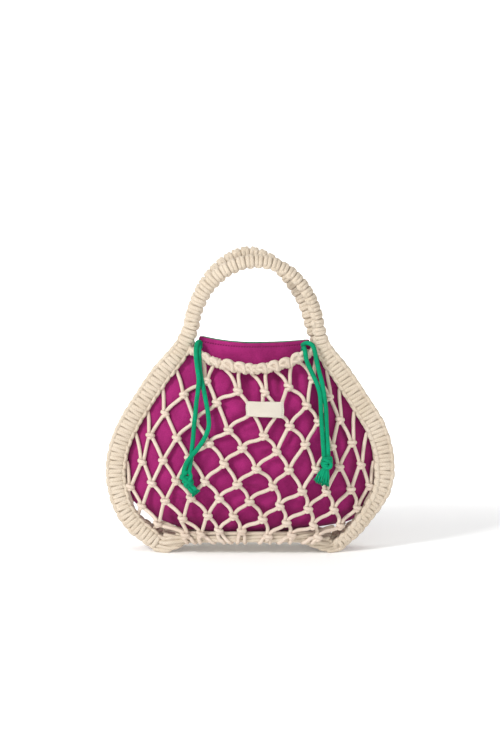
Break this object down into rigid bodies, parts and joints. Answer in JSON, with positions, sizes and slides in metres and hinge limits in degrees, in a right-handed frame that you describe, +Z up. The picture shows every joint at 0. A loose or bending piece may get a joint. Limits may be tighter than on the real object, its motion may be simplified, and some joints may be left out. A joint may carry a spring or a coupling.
{
  "type": "macrame handbag",
  "caption": "Knotted cotton cord handbag with two arched handles, open diamond net faces and a filled drawstring pouch inside.",
  "frame": {"origin": "middle of the bag's footprint, on the surface it stands on", "axes": "+X to the bag's right as seen from the front, -Y out of the front face, +Z up through the handles"},
  "size_m": [0.3501, 0.1103, 0.3691],
  "materials": {
    "cotton_cord": "matte twisted cotton",
    "pouch_cotton": "matte plain weave",
    "green_facing": "matte plain weave",
    "green_cord": "matte knitted cotton",
    "label_tape": "matte satin tape"
  },
  "bodies": {
    "root": {"handle_front": "cotton_cord", "handle_back": "cotton_cord", "side_band_left_front": "cotton_cord", "side_band_left_back": "cotton_cord", "side_band_right_front": "cotton_cord", "side_band_right_back": "cotton_cord", "rim_front": "cotton_cord", "rim_back": "cotton_cord", "net_front": "cotton_cord", "net_back": "cotton_cord", "base_cords": "cotton_cord", "pouch": "pouch_cotton", "mouth_lining": "green_facing", "label": "label_tape", "drawstring_left_a": "green_cord", "drawstring_left_b": "green_cord", "drawstring_right_a": "green_cord", "drawstring_right_b": "green_cord", "knot_left": "green_cord", "knot_right": "green_cord", "tassel_left": "green_cord", "tassel_right": "green_cord"}
  },
  "joints": []
}
